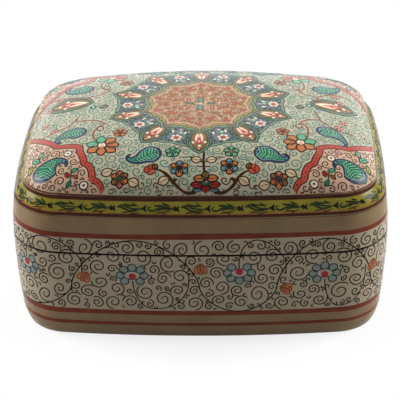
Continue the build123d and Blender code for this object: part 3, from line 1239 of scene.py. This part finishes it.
def corner_grounds(borders, low):
    """The blush ground of all four corners: from the pillow's foot up to each border, ring by ring."""
    points, triangles, count = [], [], 0
    for pieces in borders:
        u, top = crown_address(scalloped(pieces))
        turn_low = np.arcsin((low - shoulder_top) / crown_rise)
        turn_top = np.arcsin(np.clip((top - shoulder_top) / crown_rise, 0, 1))
        share = np.linspace(0, 1, 22)[:, None]
        z = shoulder_top + crown_rise * np.sin(turn_low + share * (turn_top - turn_low))
        laid = round_the_side(u, z, 2.0).reshape(-1, 3)
        cells = grid_triangles(len(share), len(u))
        a, b, c = (laid[cells[:, k]] for k in range(3))
        if np.cross(b - a, c - a)[:, 2].mean() < 0:
            cells = cells[:, ::-1]
        for mirror, faces in ((1, cells), (-1, cells[:, ::-1])):
            points.append(laid * [1, mirror, 1])
            triangles.append(faces + count)
            count += len(laid)
    add_piece("lid_corner_grounds", "lid", np.concatenate(points), np.concatenate(triangles), blush_ground)


def inside_polygon(points, corners):
    """Which points lie inside a polygon: a ray to the right crosses its edges an odd number of times."""
    inside = np.zeros(len(points), bool)
    for (x1, y1), (x2, y2) in zip(corners, np.roll(corners, -1, axis=0)):
        crosses = (y1 > points[:, 1]) != (y2 > points[:, 1])
        at = x1 + (points[:, 1] - y1) / (y2 - y1 + 1e-12) * (x2 - x1)
        inside ^= crosses & (points[:, 0] < at)
    return inside


def crown_curls():
    """Fills what is left of the pillow: fine teal curls on the field and dark ones in the corners."""
    half_x, half_y, cell = 70, 52, 0.5
    rosette_reach = 31
    x, y = plan_grid(half_x, half_y, cell)
    widest = foot_half_length - 0.1
    taken = crown_height(np.clip(x, -widest, widest), y) < curl_room_foot
    mark_painted(taken, half_x, half_y, cell)
    laid = crown_spread(np.stack([x, y], -1))
    cells = free_room(x, y, laid, taken, cell, reach=3.6, slack=-0.15)
    spots = cells[0]
    in_corner = np.zeros(len(spots), bool)
    for pieces in (left_border, right_border):
        path = scalloped(pieces)
        away = [[path[-1, 0], -60], [path[0, 0] * 1.2, -60], [path[0, 0] * 1.2, path[0, 1]]]
        corners = np.concatenate([path, away])
        for mirror in (1, -1):
            in_corner |= inside_polygon(spots * [1, mirror], corners)
    in_middle = np.hypot(spots[:, 0], spots[:, 1]) < rosette_reach
    for where, colour, largest in ((in_corner, "bark", 2.6), (~in_corner & ~in_middle, "teal_line", 2.7)):
        for disc in pack_discs([part[where] for part in cells], largest, smallest=0.5):
            path = curl_path(disc, crown_spread, wide_from=1.6, small_to=0.9)
            width = 0.46
            brush = colour
            # Near the pillow's foot the curls are wider and half of them brown: partly the denser dark line
            # work there, partly painted shade that darkens the foot
            if crown_spread(disc[:2])[2] < steep_top:
                path = path[crown_height(path[:, 0], path[:, 1]) > curl_foot]
                width = 0.52
                brush = "bark" if rng.uniform() < 0.5 else colour
            if len(path) > 3:
                lid[brush].stroke(path, width, 3, head=0.05, tail=0.15)


# Each paisley from its head to its curled tail, and its width
paisleys = [
    ([(-14.2, -36.2), (-17, -37), (-20, -38), (-23, -39.6), (-25.5, -40), (-27.2, -39), (-27, -37.6),
      (-26, -37.2)], 9.2),
    ([(20.9, -36), (24, -36.5), (27.5, -37.5), (30.5, -39), (32.8, -39.2), (34, -38), (33, -36.8),
      (32, -37)], 9.2),
    ([(-44.2, -20.8), (-48, -20), (-51.5, -19.8), (-54.5, -21), (-55.8, -23), (-55, -25),
      (-53.5, -25.3)], 8.6),
    ([(45.5, -20), (49, -19.3), (52.5, -20), (55, -22), (56.8, -24.5), (57, -26.8), (55.5, -27.5)], 8.6),
    ([(-60.5, -44.7), (-59.5, -41.5), (-58, -38.8), (-55.5, -37), (-52.8, -37), (-51, -38.5),
      (-51, -40.5)], 10.5),
    ([(61.5, -45), (60, -42), (58, -39.5), (55.5, -38), (53, -38.2), (51.8, -39.8), (52.2, -41.5)], 10.5),
]

# Each corner's border from the end of the lid to its front, in scallops
left_border = [
    [(-69.3, -8), (-67.0, -12.3), (-63.8, -17), (-60, -21.6), (-57.4, -24.6), (-55.9, -27.2)],
    [(-55.6, -27.5), (-53.6, -28.2), (-51, -28.7), (-48.4, -29.4), (-46.4, -30.4)],
    [(-46.3, -30.6), (-46.1, -33), (-45.2, -35.6), (-44.4, -37.6), (-44.2, -39.6)],
    [(-43.9, -39.9), (-42.2, -41), (-41.1, -43), (-40.7, -45), (-40.8, -46.4)],
    [(-40.4, -46.7), (-38.6, -47.4), (-37.2, -48.7), (-36.3, -50.4)],
]
right_border = [
    [(69.5, -14), (67.8, -18), (64.6, -22.4), (61.2, -25.6), (58.2, -28.4)],
    [(57.9, -28.6), (55, -28.9), (51.6, -29.4), (48.8, -30.3), (46.7, -31.3)],
    [(46.5, -31.6), (46.4, -34), (45.4, -36.6), (44.6, -38.4), (44.2, -40.2)],
    [(43.9, -40.4), (42.0, -41.6), (40.9, -43.6), (40.4, -45.2), (40.3, -46.4)],
    [(40.0, -46.8), (38.4, -47.6), (37.0, -48.9), (36.2, -50.4)],
]


def corner_sprigs():
    """Beside each corner's paisley, a sprig of two green and two red leaves, and three leaves over it."""
    for hand, over in ((-1, 0.0), (1, 0.6)):
        at = np.array([48.8 * hand + over, -44.6])
        stem([at + [0.9, 2.2], at + [0.2, 0.8], at + [0, -0.9], at + [-0.6, -2.8]], "deep_green", wide=0.6)
        leaf(at + [1.3, 2.0], 20, 3.4, 1.8, "pale_green", "deep_green")
        leaf(at + [-1.4, 0.4], 110, 2.9, 2.0, "crimson", "bark")
        leaf(at + [1.7, -0.5], -40, 2.8, 1.5, "coral", "bark")
        leaf(at + [-0.7, -2.6], -120, 3.2, 1.6, "leaf_green", "deep_green")
        leaf((63.4 * hand, -32.6), 90 - 40 * hand, 5.6, 2.9, "pale_green", "deep_green")
        leaf((61.6 * hand, -30.0), 90 + 10 * hand, 4.4, 2.2, "mint", "bark")
        leaf((65.2 * hand, -36.6), 90 + 10 * hand, 4.8, 2.4, "moss", "deep_green")


def field_stems():
    """The brown stems of the field, the two dark branches at its foot, and the front stem with tendrils."""
    for points in (
        [(-37, -15), (-40, -17.5), (-41.5, -21), (-41.5, -24.5), (-40, -28)],
        [(-37.5, -15), (-42, -11.5), (-49.5, -10), (-48, -5)],
        [(-50, -10), (-53, -13.5), (-60, -16), (-65, -16)],
        [(39.5, -14.5), (42, -17), (42.5, -21), (42, -25), (41, -27.5)],
        [(40, -14), (43, -11.5), (47.5, -10), (46.5, -6), (45.5, -2)],
        [(47, -10), (50, -13), (55, -16.5), (62, -16.5)],
    ):
        stem(points, "sienna", wide=0.9)
    for points in (
        [(-1, -51.1), (-5, -51.1), (-8, -50), (-10.2, -48.4), (-12.6, -46.2), (-15, -44.9), (-17, -44.5)],
        [(-9.6, -49.6), (-9.2, -48.6), (-8.6, -48.2), (-7.8, -48.3)],
        [(6, -51.1), (10, -51), (13, -49.8), (14.6, -48.2), (16.4, -46.4), (18.4, -45.2), (20, -44.6)],
        [(14.2, -49.4), (13.4, -48.2), (12.6, -47.9), (11.8, -48.1)],
    ):
        stem(points, wide=1.5, tail=0.35)
    stem([(2, -36.8), (1.9, -42), (2.3, -47.5)], wide=1.0)
    for points in (
        [(-0.6, -43.4), (0.2, -43.9), (1.9, -43.8), (3.6, -43.9), (4.4, -43.4)],
        [(-1.6, -40.6), (-3.8, -39.4), (-5.6, -39.8), (-6.8, -39.2)],
        [(5.6, -40.6), (7.6, -39.4), (9.2, -39.8), (10.2, -39.2)],
        [(1.9, -42.4), (0.6, -41.6), (-0.8, -41.2)],
        [(1.9, -42.4), (3.2, -41.6), (4.6, -41.3)],
    ):
        stem(points, wide=0.5)


def large_flowers():
    """The front half's two large flowers, each with five orange petals and two green ones."""
    petals = [
        (-34.4, -28.4, "orange"),
        (-33.4, -31.0, "orange"),
        (-34.2, -33.6, "orange"),
        (-37.7, -34.2, "orange"),
        (-41.0, -33.0, "orange"),
        (-41.4, -29.8, "pale_green"),
        (-38.1, -27.2, "pale_green"),
    ]
    for hand, over in ((1, 0.0), (-1, 1.6)):
        middle = np.array([-37.7 * hand + over, -30.9 + over])
        for x, y, colour in petals:
            out = 0.95 * (np.array([x * hand + over, y + over]) - middle)
            shape = placed(leaf_shape(5.0, 3.9), middle + 1.05 * out, degrees(atan2(out[1], out[0])))
            lid[colour].fill(shape, 5)
            lid["ink" if colour == "orange" else "deep_green"].outline(shape, 0.55, 6)
        lid["cream"].dot(middle, 1.7, 6, steps=10)
        lid["pink"].dot(middle - [0, 0.4], 1.0, 7)
        lid["ink"].outline(placed(ellipse(1.7, 1.7, 12), middle), 0.35, 7)


def front_blooms():
    """The small flowers of the front half, the two red buds on the branches, and the tendril leaves."""
    small_flower((-31, -23), 2.9, 5, ["orange"], eye="bark")
    small_flower((32.5, -22.5), 2.7, 5, ["orange"], eye="bark")
    for at in ((-7.3, -44.4), (11.7, -43.4)):
        small_flower(at, 3.6, 6, ["pale_blue", "orange"], line="ink", eye_share=0.15)
    small_flower((-10, -36.7), 3.0, 5, ["pale_green"], 90, "leaf_green", 0.2, "ink")
    small_flower((12.5, -36.5), 3.0, 5, ["pale_green"], 90, "umber", 0.25, "ink")
    small_flower((-30, -47), 3.5, 6, ["coral", "orange", "umber"], 90, "deep_green", 0.26, "ink")
    small_flower((30.5, -47.3), 3.6, 6, ["orange", "umber", "coral"], 90, "navy", 0.24, "ink")
    for at, hand in (((-18.5, -44.5), -1), ((21.0, -44.2), 1)):
        small_flower(at, 2.3, 3, ["brick", "coral", "brick"], turn=90 - 90 * hand, eye="crimson")
        leaf((at[0] - 1.9 * hand, at[1] + 1.1), 60 * hand, 3.1, 2.2, "umber", "ink")
    for at, turn in (((-35, -44.5), 200), ((-24.8, -48.4), 150), ((-13.2, -48.4), 30), ((17.2, -48.4), 150),
                     ((25, -49.2), 20), ((35.0, -45), 160)):
        tendril_leaf(at, turn)
    leaf((-0.9, -40.9), 170, 4.2, 3.2, "blush", "bark")
    leaf((4.9, -40.9), 10, 4.2, 3.2, "blush", "bark")


def lotus():
    """The lotus at the foot of the front stem."""
    for x, y, turn, long, wide, colour in (
        (2.6, -47.2, 90, 4.2, 3.0, "umber"),
        (0.3, -48.1, 176, 4.6, 3.2, "orange"),
        (5.3, -48.0, 6, 4.6, 3.2, "orange"),
        (-0.6, -49.7, 178, 5.0, 2.8, "crimson"),
        (6.0, -49.6, 2, 5.0, 2.8, "crimson"),
        (-0.4, -50.7, 185, 4.2, 2.2, "pale_blue"),
        (5.9, -50.7, -5, 4.2, 2.2, "pale_blue"),
        (1.6, -49.5, 130, 2.6, 1.9, "leaf_green"),
        (4.0, -49.5, 50, 2.6, 1.9, "leaf_green"),
        (2.7, -50.5, 90, 3.4, 3.6, "crimson"),
    ):
        leaf((x, y), turn, long, wide, colour, "ink")


# The front half, which is repeated at the back
Paint.repeat_at_back = True
for pieces in (left_border, right_border):
    corner_border(pieces)
for at in ((-50.7, -33.5), (-43.7, -48.0), (-67.0, -21), (50.7, -36.5), (43.8, -47.8), (67.0, -26)):
    corner_disc(at)
for points, wide in paisleys:
    paisley(points, wide)
corner_sprigs()
field_stems()
large_flowers()
front_blooms()
lotus()
for at in ((-62, -7), (-58, -14), (57, -9), (55, -14)):
    small_flower(at, 1.8, 4, ["pink"], eye="coral")
for at in ((-39, -19), (39, -17.5)):
    leaf(at, 80, 4.0, 2.6, "blush", "bark")
Paint.repeat_at_back = False

# The middle, which is drawn once
for at in ((-39, 0), (40, -1)):
    small_flower(at, 2.0, 5, ["umber", "pale_blue"], eye="coral", line="deep_green")
rosette_petal((-16.4, 1.6), 172, 1.24)
rosette_petal((16.6, 2.0), 3, 1.24)
rosette()
rosette_flowers()
rosette_seeds()
for at in ((-43.4, 0.4), (43.8, 1.2)):
    lid["deep_green"].dot(at, 1.6, 7)
    lid["mint"].dot(at, 0.8, 8)
crown_curls()
corner_grounds((left_border, right_border), corner_ground_foot)
for paint in lid.values():
    if paint.count:
        paint.lay("lid")


# The inside of the box, black lacquer over wood

def lacquered_wood(name, colour):
    """Dark lacquer with a faint grain along the length."""
    material, nodes, links, shader = new_material(name)
    shader.inputs["Roughness"].default_value = 0.4
    shader.inputs["Coat Weight"].default_value = 0.3
    place = nodes.new("ShaderNodeTexCoord")
    stretch = nodes.new("ShaderNodeMapping")
    stretch.inputs["Scale"].default_value = (30, 400, 400)
    noise = nodes.new("ShaderNodeTexNoise")
    noise.inputs["Scale"].default_value = 1
    noise.inputs["Detail"].default_value = 5
    shades = nodes.new("ShaderNodeValToRGB")
    for shade, share in zip(shades.color_ramp.elements, (0.6, 1.4)):
        shade.color = (*linear(colour) * share, 1)
    links.new(place.outputs["Object"], stretch.inputs["Vector"])
    links.new(stretch.outputs["Vector"], noise.inputs["Vector"])
    links.new(noise.outputs["Fac"], shades.inputs["Fac"])
    links.new(shades.outputs["Color"], shader.inputs["Base Color"])
    return material


carcass_finish = lacquered_wood("black_lacquer", (58, 46, 40))
lip_finish = lacquered_wood("lip_lacquer", (70, 54, 44))
for node_name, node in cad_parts.items():
    finish = lip_finish if node_name == "lip_strip" else carcass_finish
    node.data.materials.clear()
    node.data.materials.append(finish)


# Floor, light and camera

def operator(nodes, kind, operation):
    """A node that works out something of its inputs."""
    node = nodes.new(kind)
    node.operation = operation
    return node


def seen_as_background(nodes, links):
    """One for rays from the camera, through glass or off a gloss, and none for the light itself."""
    path = nodes.new("ShaderNodeLightPath")
    either = operator(nodes, "ShaderNodeMath", "MAXIMUM")
    any_of = operator(nodes, "ShaderNodeMath", "MAXIMUM")
    links.new(path.outputs["Is Camera Ray"], either.inputs[0])
    links.new(path.outputs["Is Glossy Ray"], either.inputs[1])
    links.new(either.outputs[0], any_of.inputs[0])
    links.new(path.outputs["Is Transmission Ray"], any_of.inputs[1])
    return any_of.outputs[0]


def pale_floor(shadow_share):
    """A wide plain floor, seen as white; a share of its shadow is left on it near the box."""
    reach = 6000.0
    corners = np.array([[-reach, -reach, 0], [reach, -reach, 0], [reach, reach, 0], [-reach, reach, 0]])
    mesh = make_mesh("floor", corners, np.array([[0, 1, 2], [0, 2, 3]]))
    floor = bpy.data.objects.new("floor", mesh)
    bpy.context.scene.collection.objects.link(floor)
    material, nodes, links, shader = new_material("pale_floor")
    shader.inputs["Base Color"].default_value = (0.9, 0.9, 0.9, 1)
    shader.inputs["Roughness"].default_value = 0.9
    white = nodes.new("ShaderNodeEmission")
    seen = operator(nodes, "ShaderNodeMath", "MULTIPLY")
    place = nodes.new("ShaderNodeTexCoord")
    plan = operator(nodes, "ShaderNodeVectorMath", "MULTIPLY")
    plan.inputs[1].default_value = (depth / length, 1, 1)
    away = operator(nodes, "ShaderNodeVectorMath", "LENGTH")
    fade = nodes.new("ShaderNodeMapRange")
    fade.interpolation_type = "SMOOTHSTEP"
    fade.inputs["From Min"].default_value = 52 * mm
    fade.inputs["From Max"].default_value = 92 * mm
    fade.inputs["To Min"].default_value = 1 - shadow_share
    fade.inputs["To Max"].default_value = 1
    mix = nodes.new("ShaderNodeMixShader")
    links.new(place.outputs["Object"], plan.inputs[0])
    links.new(plan.outputs["Vector"], away.inputs[0])
    links.new(away.outputs["Value"], fade.inputs["Value"])
    links.new(seen_as_background(nodes, links), seen.inputs[0])
    links.new(fade.outputs["Result"], seen.inputs[1])
    links.new(seen.outputs[0], mix.inputs["Fac"])
    links.new(shader.outputs["BSDF"], mix.inputs[1])
    links.new(white.outputs["Emission"], mix.inputs[2])
    links.new(mix.outputs["Shader"], nodes["Material Output"].inputs["Surface"])
    mesh.materials.append(material)


def softbox(name, place, target, size, strength, mirrored=True):
    """An area lamp at a place in millimetres, turned to a target; the varnish mirrors it or not."""
    lamp = bpy.data.lights.new(name, "AREA")
    lamp.shape = "RECTANGLE"
    lamp.size, lamp.size_y = size[0] * mm, size[1] * mm
    lamp.energy = strength
    light = bpy.data.objects.new(name, lamp)
    light.location = Vector(place) * mm
    light.rotation_euler = (Vector(target) - Vector(place)).to_track_quat("-Z", "Y").to_euler()
    light.visible_glossy = mirrored
    bpy.context.scene.collection.objects.link(light)


def white_world(strength):
    """Even light from all round, in front of a white background."""
    world = bpy.data.worlds.new("studio")
    world.use_nodes = True
    nodes, links = world.node_tree.nodes, world.node_tree.links
    light = nodes["Background"]
    light.inputs["Color"].default_value = (1, 1, 1, 1)
    light.inputs["Strength"].default_value = strength
    white = nodes.new("ShaderNodeBackground")
    white.inputs["Color"].default_value = (1, 1, 1, 1)
    mix = nodes.new("ShaderNodeMixShader")
    links.new(seen_as_background(nodes, links), mix.inputs["Fac"])
    links.new(light.outputs["Background"], mix.inputs[1])
    links.new(white.outputs["Background"], mix.inputs[2])
    links.new(mix.outputs["Shader"], nodes["World Output"].inputs["Surface"])
    bpy.context.scene.world = world


def add_camera(place, azimuth, elevation, roll, lens):
    """A camera at a place in millimetres, looking along azimuth from +Y and down by the elevation."""
    data = bpy.data.cameras.new("camera")
    data.sensor_width = 36
    data.lens = lens
    data.clip_start, data.clip_end = 0.01, 100
    camera = bpy.data.objects.new("camera", data)
    az, el, turn = radians(azimuth), radians(elevation), radians(roll)
    look = Vector((sin(az) * cos(el), cos(az) * cos(el), -sin(el)))
    right = look.cross(Vector((0, 0, 1))).normalized()
    up = right.cross(look)
    rolled_right = cos(turn) * right + sin(turn) * up
    rolled_up = cos(turn) * up - sin(turn) * right
    turned = Matrix((rolled_right, rolled_up, -look)).transposed()
    camera.matrix_world = Matrix.Translation(Vector(place) * mm) @ turned.to_4x4()
    bpy.context.scene.collection.objects.link(camera)
    bpy.context.scene.camera = camera


pale_floor(0.22)
white_world(0.06)
for end, way in (("left", -1), ("right", 1)):
    softbox(f"{end}_softbox", (540 * way, 60, 340), (0, 0, 50), (460, 440), 0.55, mirrored=False)
    softbox(f"{end}_glint", (520 * way, 60, 400), (0, 0, 50), (280, 260), 3.9)
    softbox(f"low_{end}_softbox", (700 * way, -20, 120), (0, 0, 40), (300, 220), 1.3, mirrored=False)
softbox("back_softbox", (0, 640, 640), (0, 0, 50), (900, 500), 2.3)
softbox("low_back_softbox", (0, 860, 240), (0, 0, 60), (1500, 440), 2.6)
add_camera((14.3, -572.6, 351.1), -1.51, 29.08, -0.89, 141.66)
bpy.context.scene.view_settings.view_transform = "Standard"
